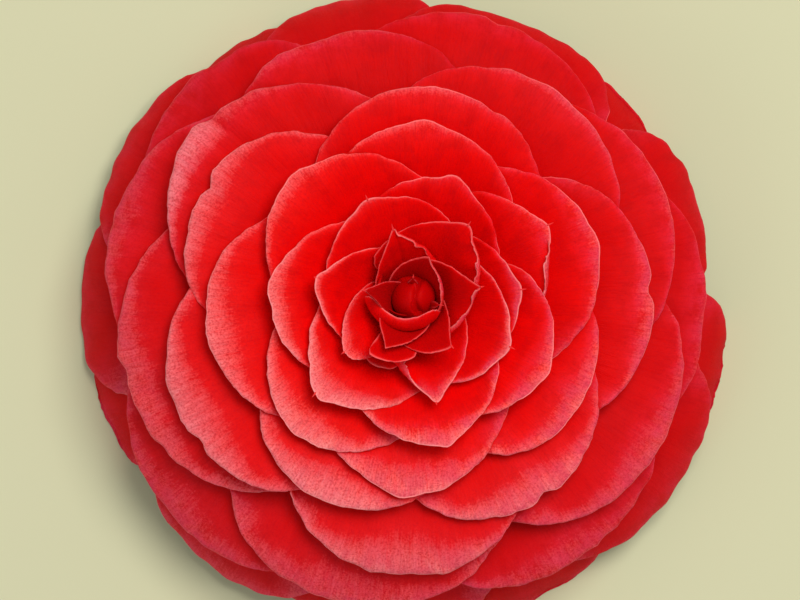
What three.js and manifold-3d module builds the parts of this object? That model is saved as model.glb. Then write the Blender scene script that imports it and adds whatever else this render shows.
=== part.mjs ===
// A formal double camellia bloom, picked with a short stub of its stem and lying face up.
// Millimetres. +Z runs up the flower's axis, and z = 0 is the surface that it rests on.
// Three sub-parts: the petals, which grow together at their base, the calyx and the stem.

import * as THREE from 'three';
import { mergeVertices } from 'three/addons/utils/BufferGeometryUtils.js';
import Module from 'manifold-3d';

const wasm = await Module();
wasm.setup();

// ---------------------------------------------------------------- driving dimensions

const BLOOM_RADIUS = 49; // where the dome of petal tips comes down to the surface
const DOME_HEIGHT = 37.5;
const DOME_SINK = 1; // the dome is set a little low, so that its foot meets the surface
const DOME_POWER = 2.8;
const DOME_ROUNDNESS = 0.62;
const EYE_DEPTH = 5.5; // the hollow that the closed bud sits in
const EYE_RADIUS = 5;

const SPAN = 48; // layer number of the outermost upright petals: a petal's reach in mm
const BASE_INNER_RADIUS = 0.8; // where the innermost claws start on the receptacle
const BASE_SPREAD = 7.2;
const BASE_TOP = 21.5;
const BASE_DROP = 11;
const RISE_INNER = 90; // degrees above the surface that a claw starts at
const RISE_SPREAD = 62;
const RISE_POWER = 1.1;
const TIP_SLOPE_INNER = 84; // degrees above the surface that a tip ends at
const TIP_SLOPE_PER_LAYER = 2.85;
const HANDLE = 0.36; // length of a profile's end handles, as a share of its chord
const CURVE_STEPS = 120;
const SEARCH_STEPS = 40;
const SEARCH_PAST_END = 1.3; // a reach is looked for up to this many lengths of its curve

const REFLEXED_LAYER = 46.2; // petals past this layer bend back to the surface
const REFLEXED_RANGE = 3.4;
const REFLEXED_TIP_HEIGHT = 7;
const REFLEXED_TIP_DROP = 8;
const REFLEXED_SLOPE = -62;
const REFLEXED_SLOPE_DROP = 14;

const PETAL_THICKNESS = 0.6;
const CLAW_HALF_WIDTH = 1.6;
const SIDE_POWER = 2.2; // how soon a petal widens above its claw
const POINT_WIDTH = 0.12; // width of a petal's point or notch, as a share of its half width
const POINT_WIDTH_PER_MM = 0.06;
const POINT_REACH = 3; // how far down the head a point or a notch is felt: a power
const WRAP_RADIUS = 0.6; // a petal wraps no tighter than this round the axis
const TRIM_WIDTH = 150; // the block that cuts the petals off level with the surface
const TRIM_DEPTH = 10;

const GAP = 0.3; // between the petals, the calyx and the stem

// Each petal: direction in degrees, reach, half width, height of its rounded head, the
// power of the head's outline, its point (or notch, below zero), where across the head
// the point is, and the layer that the petal lies in. Inner petals come first. A half
// width or a power that differs between the two sides is [clockwise, anticlockwise].
const PETALS = [
  [165, 6.7, [3.0, 3.6], 10.0, [1.4, 0.9], 1.2, 0, 5.6],
  [69, 6.8, [6.5, 5.4], 6.3, [0.9, 1.4], 0.4, 0, 7.2],
  [240, 7.3, [5.5, 5.1], 8.6, [0.9, 1.1], 0.4, 0, 7.4],
  [313, 8.2, [6.8, 5.6], 9.0, [1.9, 0.9], 0.6, 0, 9.2],
  [245, 8.3, 3.4, 6.0, 2.0, 0, 0, 11.0],
  [13, 9.9, [9.0, 8.1], 6.5, [1.0, 0.9], 0.8, 0, 11.0],
  [240, 10.0, 4.5, 6.0, 2.0, 0, 0, 12.7],
  [104, 10.6, [7.8, 6.7], 9.1, [1.3, 1.2], 0.9, 0, 12.9],
  [216, 11.7, [7.0, 6.4], 8.7, [1.5, 2.0], 0.4, 0, 14.4],
  [54, 13.4, [8.8, 10.7], 7.0, [1.4, 1.3], 0.9, 0, 14.9],
  [284, 14.3, [8.5, 8.4], 9.1, [1.1, 1.4], 1.1, 0, 16.2],
  [165, 13.9, [8.5, 11.2], 8.2, [1.2, 1.7], 0.8, 0, 16.8],
  [336, 15.1, [10.5, 10.8], 5.9, [1.9, 1.4], 0.8, 0, 18.0],
  [113, 15.7, [10.8, 12.6], 4.5, [2.1, 1.3], 0.8, 0, 18.5],
  [7, 15.5, [12.5, 11.1], 5.6, [2.2, 1.7], 0.8, 0, 19.8],
  [227, 18.6, 12.5, 11.0, 1.7, 1.5, -0.1, 20.2],
  [74, 18.7, 12.5, 8.0, 1.8, 1.0, -0.12, 21.4],
  [281, 20.6, 12.3, 9.0, 1.9, 0.9, 0.1, 21.6],
  [178, 20.4, 13.5, 8.5, 2.0, 1.0, -0.15, 23.0],
  [333, 21.5, 12.5, 7.0, 1.9, 0.6, 0, 23.2],
  [28, 21.9, 13.0, 8.0, 1.8, 0.9, 0.05, 25.0],
  [133, 24.4, 15.0, 10.5, 2.1, 0.3, 0, 26.2],
  [227, 24.6, 14.0, 10.0, 2.0, 0.3, 0, 27.2],
  [86, 25.7, 15.0, 8.5, 2.0, 0.6, 0, 28.0],
  [271, 27.1, 16.0, 11.5, 1.9, 0.6, -0.15, 29.0],
  [21, 27.4, 16.0, 8.5, 2.1, 0.4, -0.08, 29.6],
  [187, 29.3, 17.0, 10.5, 2.1, 0.2, 0.1, 30.6],
  [330, 27.7, 15.5, 8.0, 2.3, 0, 0, 31.0],
  [246, 30.4, 16.0, 9.5, 2.2, 0, 0, 32.2],
  [82, 30.6, 19.0, 11.0, 2.2, -0.5, -0.4, 32.8],
  [153, 33.7, 18.0, 12.5, 2.2, -0.8, -0.1, 34.4],
  [305, 33.4, 18.0, 11.0, 2.2, -1.0, 0, 34.6],
  [1, 34.4, 19.0, 10.0, 2.3, -1.0, 0.07, 36.2],
  [207, 36.7, 20.0, 12.5, 2.1, -1.0, 0.2, 35.8],
  [55, 36.3, 21.0, 12.0, 2.3, -0.4, -0.1, 37.8],
  [269, 38.8, 19.3, 14.0, 2.3, -0.4, 0.05, 37.8],
  [140, 39.5, 21.8, 16.0, 2.0, 0.8, 0.03, 39.2],
  [26, 39.5, 22.0, 12.5, 2.1, 0, 0, 39.8],
  [196, 42.2, 22.5, 15.0, 2.3, -0.7, -0.1, 40.6],
  [330, 41.0, 22.0, 13.5, 2.4, 0, 0, 41.0],
  [109, 40.1, 21.0, 14.0, 2.2, 0, 0, 42.0],
  [257, 44.0, 22.0, 15.0, 2.3, 0, 0, 42.2],
  [74, 42.3, 22.0, 13.0, 2.3, -0.6, -0.05, 43.2],
  [164, 44.7, 21.0, 13.0, 2.0, 0.4, 0, 42.8],
  [359, 42.5, 20.0, 10.0, 2.3, 0, 0, 43.8],
  [221, 46.4, 21.0, 13.0, 2.3, 0, 0, 44.4],
  [305, 44.0, 22.0, 12.0, 2.4, -0.6, 0.15, 45.0],
  [136, 45.2, 18.0, 12.0, 2.4, 0, 0, 45.6],
  [324, 47.6, 19.0, 13.0, 2.3, 0, 0, 47.0],
  [232, 48.3, 16.0, 12.0, 2.2, 0, 0, 47.4],
  [150, 48.3, 17.0, 12.0, 2.2, 0, 0, 47.4],
  [69, 44.5, 18.0, 11.0, 2.3, 0, 0, 46.8],
  [20, 44.7, 14.0, 11.0, 2.2, 0, 0, 47.2],
  [180, 48.6, 14.0, 11.0, 2.2, 0, 0, 49.0],
  [103, 45.9, 14.0, 11.0, 2.2, 0, 0, 48.4],
  [263, 47.5, 18.0, 12.0, 2.2, 0, 0, 48.8],
  [345, 47.2, 13.0, 11.0, 2.2, 0, 0, 49.9],
  [42, 43.5, 11.0, 11.0, 2.2, 0, 0, 50.0],
  [126, 46.0, 11.0, 11.0, 2.2, 0, 0, 49.6],
  [200, 48.3, 11.0, 11.0, 2.2, 0, 0, 50.0],
  [292, 47.6, 15.0, 11.0, 2.2, 0, 0, 49.8],
];

// How finely a petal is divided: cells across, cells up its side, cells up its head.
const EYE_PETAL = { limit: 13, across: 4, side: 1, head: 3 };
const INNER_PETAL = { limit: 26, across: 4, side: 2, head: 3 };
const MIDDLE_PETAL = { limit: 46, across: 5, side: 2, head: 3 };
const OUTER_PETAL = { limit: Infinity, across: 4, side: 2, head: 3 };

// The heart of the bloom, as one turned solid: the receptacle with the claws packed round
// it, and the closed bud in the eye.
const CORE_SIDES = 10;
const CORE_BOTTOM = 9.2;
const CORE_OUTLINE = [
  [8.6, CORE_BOTTOM],
  [9.6, 9.9],
  [13.6, 11.1],
  [16.6, 11.9],
  [17.2, 13.4],
  [14.8, 16.2],
  [11.4, 19.0],
  [7.6, 21.4],
  [3.4, 23.0],
  [2.2, 24.6],
  [2.5, 27.4],
  [2.2, 29.6],
  [1.3, 31.2],
];
const CLAW_HIDDEN = 0.16; // share of a petal's side that stays inside the heart
const CORE_TOP = 31.8;

// The calyx: a cup with two rings of overlapping sepals.
const CUP_SIDES = 16;
const CUP_BOTTOM = 4.3;
const CUP_RIM = CORE_BOTTOM - GAP;
const CUP_OUTLINE = [
  [2.6, CUP_BOTTOM],
  [4.6, 5.4],
  [6.3, 7.6],
  [6.7, CUP_RIM],
];
const SEPAL_THICKNESS = 0.8;
const SEPAL_CELLS = { across: 4, side: 1, head: 3 };
// Each ring: how many, first direction, how far out the sepals reach, their half width,
// the height of their head, and how far their base lies below the cup's rim.
const SEPAL_RINGS = [
  { count: 5, start: 18, reach: 13, half: 6.0, head: 6.5, below: 1.5, rise: 8, fall: 18 },
  { count: 5, start: 54, reach: 10, half: 5.0, head: 5, below: 2.9, rise: 10, fall: 22 },
];
const SEPAL_BASE_RADIUS = 4.6;
const SEPAL_POINT = 0.5;
const SEPAL_POWER = 2;
const SEPAL_CLAW_SHARE = 0.7; // width of a sepal's base, as a share of its widest

// The stub of the stem, cut just above the surface.
const STEM_SIDES = 16;
const STEM_BOTTOM = 0.6;
const STEM_TOP = CUP_BOTTOM - GAP;
const STEM_RADIUS = 1.9;
const STEM_COLLAR_RADIUS = 2.4;
const STEM_OUTLINE = [
  [STEM_RADIUS - 0.2, STEM_BOTTOM],
  [STEM_RADIUS, STEM_BOTTOM + 0.3],
  [STEM_RADIUS, STEM_TOP - 1.4],
  [STEM_COLLAR_RADIUS, STEM_TOP - 0.5],
  [STEM_COLLAR_RADIUS, STEM_TOP],
];

const LOOKS = {
  petals: { color: 0xd3152b, roughness: 0.55 },
  calyx: { color: 0x7f9a45, roughness: 0.7 },
  stem: { color: 0x6f7a3c, roughness: 0.8 },
};

// ---------------------------------------------------------------- solids

const degrees = (angle) => THREE.MathUtils.degToRad(angle);

function solidFrom(geometry) {
  const bare = geometry.index ? geometry.clone() : geometry;
  for (const name of Object.keys(bare.attributes)) {
    if (name !== 'position') {
      bare.deleteAttribute(name);
    }
  }
  const merged = mergeVertices(bare, 1e-4);
  const mesh = new wasm.Mesh({
    numProp: 3,
    vertProperties: new Float32Array(merged.attributes.position.array),
    triVerts: new Uint32Array(merged.index.array),
  });
  return new wasm.Manifold(mesh);
}

function geometryFrom(solid) {
  const mesh = solid.getMesh();
  const geometry = new THREE.BufferGeometry();
  geometry.setAttribute('position', new THREE.BufferAttribute(mesh.vertProperties, 3));
  geometry.setIndex(new THREE.BufferAttribute(mesh.triVerts, 1));
  geometry.computeVertexNormals();
  return geometry;
}

// The largest body alone: this drops loose scraps and fills what the joins seal off.
function largestBody(solid) {
  const bodies = solid.decompose();
  bodies.sort((a, b) => b.volume() - a.volume());
  return bodies[0];
}

// A solid of revolution about +Z from points [radius, height], bottom to top.
function turned(points, sides, topHeight) {
  const bottom = [0, points[0][1]];
  const outline = [bottom, ...points, [0, topHeight]];
  const profile = outline.map(([radius, height]) => new THREE.Vector2(radius, height));
  const geometry = new THREE.LatheGeometry(profile, sides);
  geometry.rotateX(Math.PI / 2);
  return solidFrom(geometry);
}

// ---------------------------------------------------------------- profiles

function tipHeight(layer) {
  const along = Math.pow(layer / BLOOM_RADIUS, DOME_POWER);
  const dome = DOME_HEIGHT * Math.pow(1 - along, DOME_ROUNDNESS) - DOME_SINK;
  return dome - EYE_DEPTH * Math.exp(-Math.pow(layer / EYE_RADIUS, 2));
}

// The curve that a petal follows from the receptacle to its tip, in a plane through the
// flower's axis (x is the radius, y the height). Curves of different layers never meet.
function petalCurve(layer, reach) {
  const share = layer / SPAN;
  const base = new THREE.Vector2(
    BASE_INNER_RADIUS + BASE_SPREAD * share,
    BASE_TOP - BASE_DROP * share,
  );
  const rise = degrees(RISE_INNER - RISE_SPREAD * Math.pow(share, RISE_POWER));
  let tip = null;
  let fall = 0;
  if (layer <= REFLEXED_LAYER) {
    tip = new THREE.Vector2(layer, tipHeight(layer));
    fall = degrees(TIP_SLOPE_INNER - TIP_SLOPE_PER_LAYER * layer);
  } else {
    const bend = (layer - REFLEXED_LAYER) / REFLEXED_RANGE;
    tip = new THREE.Vector2(reach, REFLEXED_TIP_HEIGHT - REFLEXED_TIP_DROP * bend);
    fall = degrees(REFLEXED_SLOPE - REFLEXED_SLOPE_DROP * bend);
  }
  return curveBetween(base, rise, tip, fall);
}

function curveBetween(base, rise, tip, fall) {
  const handle = HANDLE * base.distanceTo(tip);
  const start = new THREE.Vector2(Math.cos(rise), Math.sin(rise)).multiplyScalar(handle);
  const end = new THREE.Vector2(Math.cos(fall), Math.sin(fall)).multiplyScalar(handle);
  const curve = new THREE.CubicBezierCurve(base, start.add(base), tip.clone().sub(end), tip);
  curve.arcLengthDivisions = CURVE_STEPS;
  return curve;
}

// A point at a length along the curve, and straight on past its end.
function pointAlong(curve, length) {
  const whole = curve.getLength();
  const share = THREE.MathUtils.clamp(length / whole, 0, 1);
  const point = curve.getPointAt(share);
  const tangent = curve.getTangentAt(share);
  const past = length - share * whole;
  return { point: point.addScaledVector(tangent, past), tangent };
}

// The length along the curve at which it reaches a radius.
function lengthAtRadius(curve, radius) {
  let low = 0;
  let high = curve.getLength() * SEARCH_PAST_END;
  for (let step = 0; step < SEARCH_STEPS; step += 1) {
    const middle = (low + high) / 2;
    if (pointAlong(curve, middle).point.x < radius) {
      low = middle;
    } else {
      high = middle;
    }
  }
  return low;
}

// ---------------------------------------------------------------- blades

// The value that holds on the side of the midline that a point is on.
function onSide(value, across) {
  return Array.isArray(value) ? value[across < 0 ? 0 : 1] : value;
}

// Where a blade's grid lies on its unrolled face: x across from its midline, y up from
// its base. Rows below the head widen from the claw. Rows of the head close in a round
// outline, whose power makes it fuller or more pointed, with a point or a notch added.
function bladeOutline(blade, cells) {
  const rows = [];
  const headStart = blade.length - blade.head - Math.max(blade.point, 0);
  for (let row = 0; row <= cells.side; row += 1) {
    const up = blade.hidden + (1 - blade.hidden) * (row / cells.side);
    const swell = Math.pow(Math.sin((up * Math.PI) / 2), SIDE_POWER);
    const line = [];
    for (let column = 0; column <= cells.across; column += 1) {
      const across = (2 * column) / cells.across - 1;
      const halfWidth = blade.claw + (onSide(blade.half, across) - blade.claw) * swell;
      line.push(new THREE.Vector2(across * halfWidth, up * headStart));
    }
    rows.push(line);
  }
  for (let row = 1; row <= cells.head; row += 1) {
    const up = row / cells.head;
    const line = [];
    for (let column = 0; column <= cells.across; column += 1) {
      const across = (2 * column) / cells.across - 1;
      const x = across * Math.sqrt(1 - (up * up) / 2);
      const y = up * Math.sqrt(1 - (across * across) / 2);
      const radius = Math.hypot(x, y);
      const power = onSide(blade.power, across);
      const sum = Math.pow(Math.abs(x) / radius, power) + Math.pow(y / radius, power);
      const fullness = Math.pow(sum, -1 / power);
      const width = POINT_WIDTH + POINT_WIDTH_PER_MM * Math.abs(blade.point);
      const aside = (x - blade.pointAt) / width;
      const point = blade.point * Math.exp(-aside * aside) * Math.pow(y, POINT_REACH);
      const height = headStart + blade.head * y * fullness + point;
      line.push(new THREE.Vector2(onSide(blade.half, across) * x * fullness, height));
    }
    rows.push(line);
  }
  return rows;
}

// A blade wrapped round the flower's axis: each point of its outline goes up the curve and
// round by its distance from the midline. Both faces are split into triangles alike.
function bladeSolid(blade, cells) {
  const rows = bladeOutline(blade, cells);
  const upper = [];
  const lower = [];
  for (const line of rows) {
    for (const place of line) {
      const { point, tangent } = pointAlong(blade.curve, place.y);
      const turn = degrees(blade.direction) + place.x / Math.max(point.x, WRAP_RADIUS);
      for (const [side, list] of [[0.5, upper], [-0.5, lower]]) {
        const radius = point.x - tangent.y * side * blade.thickness;
        const height = point.y + tangent.x * side * blade.thickness;
        list.push([radius * Math.cos(turn), radius * Math.sin(turn), height]);
      }
    }
  }
  const columns = cells.across + 1;
  const count = upper.length;
  const positions = [...upper, ...lower].flat();
  const triangles = [];
  for (let row = 0; row < rows.length - 1; row += 1) {
    for (let column = 0; column < cells.across; column += 1) {
      const a = row * columns + column;
      const b = a + 1;
      const c = a + columns + 1;
      const d = a + columns;
      const turnedCell = column >= cells.across / 2;
      const halves = turnedCell ? [[a, b, c], [a, c, d]] : [[a, b, d], [b, c, d]];
      for (const [p, q, r] of halves) {
        triangles.push(p, r, q, count + p, count + q, count + r);
      }
    }
  }
  const rim = rimOf(rows.length, columns);
  for (let index = 0; index < rim.length; index += 1) {
    const a = rim[index];
    const b = rim[(index + 1) % rim.length];
    triangles.push(a, b, count + a, b, count + b, count + a);
  }
  const geometry = new THREE.BufferGeometry();
  geometry.setAttribute('position', new THREE.Float32BufferAttribute(positions, 3));
  geometry.setIndex(triangles);
  return solidFrom(geometry);
}

// The grid's outer points in order, round its rim.
function rimOf(rowCount, columns) {
  const rim = [];
  for (let column = 0; column < columns - 1; column += 1) {
    rim.push(column);
  }
  for (let row = 0; row < rowCount - 1; row += 1) {
    rim.push(row * columns + columns - 1);
  }
  for (let column = columns - 1; column > 0; column -= 1) {
    rim.push((rowCount - 1) * columns + column);
  }
  for (let row = rowCount - 1; row > 0; row -= 1) {
    rim.push(row * columns);
  }
  return rim;
}

// ---------------------------------------------------------------- sub-parts

function petalSolid([direction, reach, half, head, power, point, pointAt, layer]) {
  const curve = petalCurve(layer, reach);
  const blade = {
    curve,
    direction,
    half,
    head,
    power,
    point,
    pointAt,
    length: lengthAtRadius(curve, reach),
    claw: CLAW_HALF_WIDTH,
    hidden: CLAW_HIDDEN,
    thickness: PETAL_THICKNESS,
  };
  const sizes = [EYE_PETAL, INNER_PETAL, MIDDLE_PETAL, OUTER_PETAL];
  return bladeSolid(blade, sizes.find((size) => layer < size.limit));
}

function makePetals() {
  let bloom = turned(CORE_OUTLINE, CORE_SIDES, CORE_TOP);
  for (const petal of PETALS) {
    bloom = bloom.add(petalSolid(petal));
  }
  const ground = new THREE.BoxGeometry(TRIM_WIDTH, TRIM_WIDTH, TRIM_DEPTH);
  ground.translate(0, 0, -TRIM_DEPTH / 2);
  return largestBody(bloom.subtract(solidFrom(ground)));
}

function makeCalyx() {
  let calyx = turned(CUP_OUTLINE, CUP_SIDES, CUP_RIM);
  for (const ring of SEPAL_RINGS) {
    const baseHeight = CUP_RIM - ring.below;
    const base = new THREE.Vector2(SEPAL_BASE_RADIUS, baseHeight);
    const tipUp = Math.tan(degrees((ring.rise + ring.fall) / 2)) * (ring.reach - SEPAL_BASE_RADIUS);
    const tip = new THREE.Vector2(ring.reach, baseHeight + tipUp);
    const curve = curveBetween(base, degrees(ring.rise), tip, degrees(ring.fall));
    for (let index = 0; index < ring.count; index += 1) {
      const blade = {
        curve,
        direction: ring.start + (360 / ring.count) * index,
        half: ring.half,
        head: ring.head,
        power: SEPAL_POWER,
        point: SEPAL_POINT,
        pointAt: 0,
        length: curve.getLength(),
        claw: ring.half * SEPAL_CLAW_SHARE,
        hidden: 0,
        thickness: SEPAL_THICKNESS,
      };
      calyx = calyx.add(bladeSolid(blade, SEPAL_CELLS));
    }
  }
  return largestBody(calyx);
}

function makeStem() {
  return turned(STEM_OUTLINE, STEM_SIDES, STEM_TOP);
}

// ---------------------------------------------------------------- assembly

function named(name, solid) {
  const material = new THREE.MeshStandardMaterial(LOOKS[name]);
  const mesh = new THREE.Mesh(geometryFrom(solid), material);
  mesh.name = name;
  return mesh;
}

const flower = new THREE.Group();
flower.add(named('petals', makePetals()));
flower.add(named('calyx', makeCalyx()));
flower.add(named('stem', makeStem()));

// The origin is under the middle of the whole bloom, which isn't quite the bud's axis.
const outer = new THREE.Box3().setFromObject(flower);
const middle = outer.getCenter(new THREE.Vector3());
flower.position.set(-middle.x, -middle.y, 0);

export default flower;
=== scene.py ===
# A formal double camellia bloom, picked and laid face up on a pale table.
# Lengths in the tables are millimetres and are made metres by MM.

import math

import bmesh
import bpy
from mathutils import Matrix, Vector, noise
from mathutils.bvhtree import BVHTree


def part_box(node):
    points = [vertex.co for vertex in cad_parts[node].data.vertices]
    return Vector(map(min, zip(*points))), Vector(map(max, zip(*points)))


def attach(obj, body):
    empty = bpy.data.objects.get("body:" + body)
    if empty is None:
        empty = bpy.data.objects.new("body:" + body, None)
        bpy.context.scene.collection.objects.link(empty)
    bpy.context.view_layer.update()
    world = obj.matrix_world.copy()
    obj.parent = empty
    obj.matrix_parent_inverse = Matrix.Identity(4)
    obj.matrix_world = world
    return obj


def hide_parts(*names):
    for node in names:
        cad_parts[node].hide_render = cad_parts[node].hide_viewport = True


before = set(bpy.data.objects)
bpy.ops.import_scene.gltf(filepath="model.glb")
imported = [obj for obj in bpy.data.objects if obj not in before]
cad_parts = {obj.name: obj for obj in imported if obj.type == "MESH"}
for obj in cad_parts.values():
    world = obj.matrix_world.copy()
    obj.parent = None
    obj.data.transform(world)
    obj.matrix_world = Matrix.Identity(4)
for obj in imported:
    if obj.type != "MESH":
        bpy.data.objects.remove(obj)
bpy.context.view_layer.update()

MM = 0.001

# ---------------------------------------------------------------- the bloom's dimensions

DOME_RADIUS = 49
DOME_HEIGHT = 37.5
DOME_SINK = 1
DOME_POWER = 2.8
DOME_ROUNDNESS = 0.62
EYE_DEPTH = 5.5
EYE_RADIUS = 5
SPAN = 48
BASE_INNER_RADIUS = 0.8
BASE_SPREAD = 7.2
BASE_TOP = 21.5
BASE_DROP = 11
RISE_INNER = 90
RISE_SPREAD = 62
RISE_POWER = 1.1
TIP_SLOPE_INNER = 84
TIP_SLOPE_PER_LAYER = 2.85
HANDLE = 0.36
REFLEXED_LAYER = 46.2
REFLEXED_RANGE = 3.4
REFLEXED_TIP_HEIGHT = 7
REFLEXED_TIP_DROP = 8
REFLEXED_SLOPE = -62
REFLEXED_SLOPE_DROP = 14
CLAW_HALF_WIDTH = 1.6
SIDE_POWER = 2.2
POINT_WIDTH = 0.12
POINT_WIDTH_PER_MM = 0.06
POINT_REACH = 3
NOTCH_WIDTH = 0.07
WRAP_RADIUS = 0.6
PETAL_THICKNESS = 0.42
RIM_THICKNESS = 0.26  # a petal's margin, as a share of its thickness
RIM_WIDTH = 0.4
SURFACE_CLEARANCE = 0.3  # a petal's middle face lies this far above the table

# Each petal: name, direction in degrees, reach, half width, height of its rounded head,
# power of the head's outline, point (or notch, below zero), where across the head the
# point is, and layer. Inner petals come first. A half width or a power that differs
# between the two sides is (clockwise, anticlockwise).
PETALS = [
    ("G7", 356, 4.1, 0.5, 2.2, 1.0, 0.4, 0, 4.3),
    ("G8", 86, 3.7, 0.8, 2.4, 1.0, 0.4, 0, 4.2),
    ("G3", 165, 6.7, (3.0, 3.6), 10.0, (1.4, 0.9), 1.2, 0, 5.6),
    ("G2", 69, 6.8, (6.5, 5.4), 6.3, (0.9, 1.4), 0.4, 0, 7.2),
    ("G5", 240, 7.3, (5.5, 5.1), 8.6, (0.9, 1.1), 0.4, 0, 7.4),
    ("G4", 313, 8.2, (6.8, 5.6), 9.0, (1.9, 0.9), 0.6, 0, 9.2),
    ("G6", 231, 9.1, (0.7, 5.6), 3.0, (2.0, 1.5), 0, 0, 9.9),
    ("G1", 13, 9.9, (9.0, 8.1), 6.5, (1.0, 0.9), 0.8, 0, 11.0),
    ("F9", 104, 10.6, (7.8, 6.7), 9.1, (1.3, 1.05), 0.9, 0, 12.9),
    ("F6", 216, 11.7, (7.0, 3.1), 8.7, (1.5, 3.0), 0.4, 0, 14.4),
    ("F3", 54, 13.4, (8.8, 10.7), 7.0, (1.4, 1.3), 0.9, 0, 14.9),
    ("F7", 284, 14.3, (8.5, 8.4), 9.1, (1.1, 1.4), 1.1, 0, 16.2),
    ("F8", 240, 10.0, 4.5, 6.0, 2.0, 0, 0, 16.5),
    ("F5", 165, 13.9, (8.5, 11.2), 8.2, (1.2, 1.7), 0.8, 0, 16.8),
    ("F1", 336, 15.1, (10.5, 10.8), 5.9, (1.9, 1.4), 0.8, 0, 18.0),
    ("F4", 113, 15.7, (10.8, 12.6), 4.5, (2.1, 1.3), 0.8, 0, 18.5),
    ("F2", 7, 15.5, (12.5, 11.1), 5.6, (2.2, 1.7), 0.8, 0, 19.8),
    ("E8", 227, 18.6, 12.5, 11.0, 1.7, 1.5, -0.1, 20.2),
    ("E6", 74, 18.7, 12.5, 8.0, 1.8, 1.0, -0.12, 21.4),
    ("E9", 281, 20.6, 12.3, 9.0, 1.9, 0.9, 0.1, 21.6),
    ("E7", 178, 20.4, 13.5, 8.5, 2.0, 1.0, -0.15, 23.0),
    ("E4", 333, 21.5, 12.5, 7.0, 1.9, 0.6, 0, 23.2),
    ("E5", 28, 21.9, 13.0, 8.0, 1.8, 0.9, 0.05, 25.0),
    ("E1", 133, 24.4, 15.0, 10.5, 2.1, 0.3, 0, 26.2),
    ("E2", 227, 24.6, 14.0, 10.0, 2.0, 0.3, 0, 27.2),
    ("D7", 86, 25.7, 15.0, 8.5, 2.0, 0.6, 0, 28.0),
    ("E3", 271, 27.1, 16.0, 11.5, 1.9, 0.6, -0.15, 29.0),
    ("D6", 21, 27.4, 16.0, 8.5, 2.1, 0.4, -0.08, 29.6),
    ("D3", 187, 29.3, 17.0, 10.5, 2.1, 0.2, 0.1, 30.6),
    ("D5", 330, 27.7, 15.5, 8.0, 2.3, 0, 0, 31.0),
    ("D4", 246, 30.4, 16.0, 9.5, 2.2, 0, 0, 32.2),
    ("D1", 82, 30.6, 19.0, 11.0, 2.2, -0.5, -0.4, 32.8),
    ("D2", 153, 33.7, 18.0, 12.5, 2.2, -0.8, -0.1, 34.4),
    ("C6", 305, 33.4, 18.0, 11.0, 2.2, -1.0, 0, 34.6),
    ("C2", 1, 34.4, 19.0, 10.0, 2.3, -1.0, 0.07, 36.2),
    ("C4", 207, 36.7, 20.0, 12.5, 2.1, -1.0, 0.2, 35.8),
    ("C1", 55, 36.3, 21.0, 12.0, 2.3, -0.4, -0.1, 37.8),
    ("C5", 269, 38.8, 19.3, 14.0, 2.3, -0.4, 0.05, 37.8),
    ("C3", 140, 39.5, 21.8, 16.0, 2.0, 0.8, 0.03, 39.2),
    ("B4", 26, 39.5, 22.0, 12.5, 2.1, 0, 0, 39.8),
    ("B8", 196, 42.2, 22.5, 15.0, 2.3, -0.7, -0.1, 40.6),
    ("B12", 330, 41.0, 22.0, 13.5, 2.4, 0, 0, 41.0),
    ("B5", 109, 40.1, 21.0, 14.0, 2.2, 0, 0, 42.0),
    ("B10", 257, 44.0, 22.0, 15.0, 2.3, 0, 0, 42.2),
    ("B3", 74, 42.3, 22.0, 13.0, 2.3, -0.6, -0.05, 43.2),
    ("B7", 164, 44.7, 21.0, 13.0, 2.0, 0.4, 0, 42.8),
    ("B1", 359, 42.5, 20.0, 10.0, 2.3, 0, 0, 43.8),
    ("B9", 221, 46.4, 21.0, 13.0, 2.3, 0, 0, 44.4),
    ("B11", 305, 44.0, 22.0, 12.0, 2.4, -0.6, 0.15, 45.0),
    ("B6", 136, 45.2, 18.0, 12.0, 2.4, 0, 0, 45.6),
    ("A12", 324, 47.6, 19.0, 13.0, 2.3, 0, 0, 47.0),
    ("A10", 232, 48.3, 16.0, 12.0, 2.2, 0, 0, 47.4),
    ("A6", 150, 48.3, 17.0, 12.0, 2.2, 0, 0, 47.4),
    ("A3", 69, 44.5, 18.0, 11.0, 2.3, 0, 0, 46.8),
    ("A1", 20, 44.7, 14.0, 11.0, 2.2, 0, 0, 47.2),
    ("A7", 180, 48.6, 14.0, 11.0, 2.2, 0, 0, 49.0),
    ("A4", 103, 45.9, 14.0, 11.0, 2.2, 0, 0, 48.4),
    ("A9", 263, 47.5, 18.0, 12.0, 2.2, 0, 0, 48.8),
    ("A13", 345, 47.2, 13.0, 11.0, 2.2, 0, 0, 49.9),
    ("A2", 42, 43.5, 11.0, 11.0, 2.2, 0, 0, 50.0),
    ("A5", 126, 46.0, 11.0, 11.0, 2.2, 0, 0, 49.6),
    ("A8", 200, 48.3, 11.0, 11.0, 2.2, 0, 0, 50.0),
    ("A11", 292, 47.6, 15.0, 11.0, 2.2, 0, 0, 49.8),
]

# The petals that lean in over the bud, wrapped round a line of their own: name, direction,
# half width, height of the head, where the profile starts and where it ends (each a
# radius, a height and a slope in degrees), and layer.
LEANING = [
    ("G9", 262, (7.1, 6.5), 3.0, (4.5, 22.0, 80), (4.1, 31.0, 166), 13),
    ("G0", 240, (6.5, 6.2), 2.6, (3.2, 21.5, 80), (3.7, 29.4, 100), 2),
]
LEANING_AXIS = (-0.75, 2.0)
LEANING_POWER = 2.6

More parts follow.
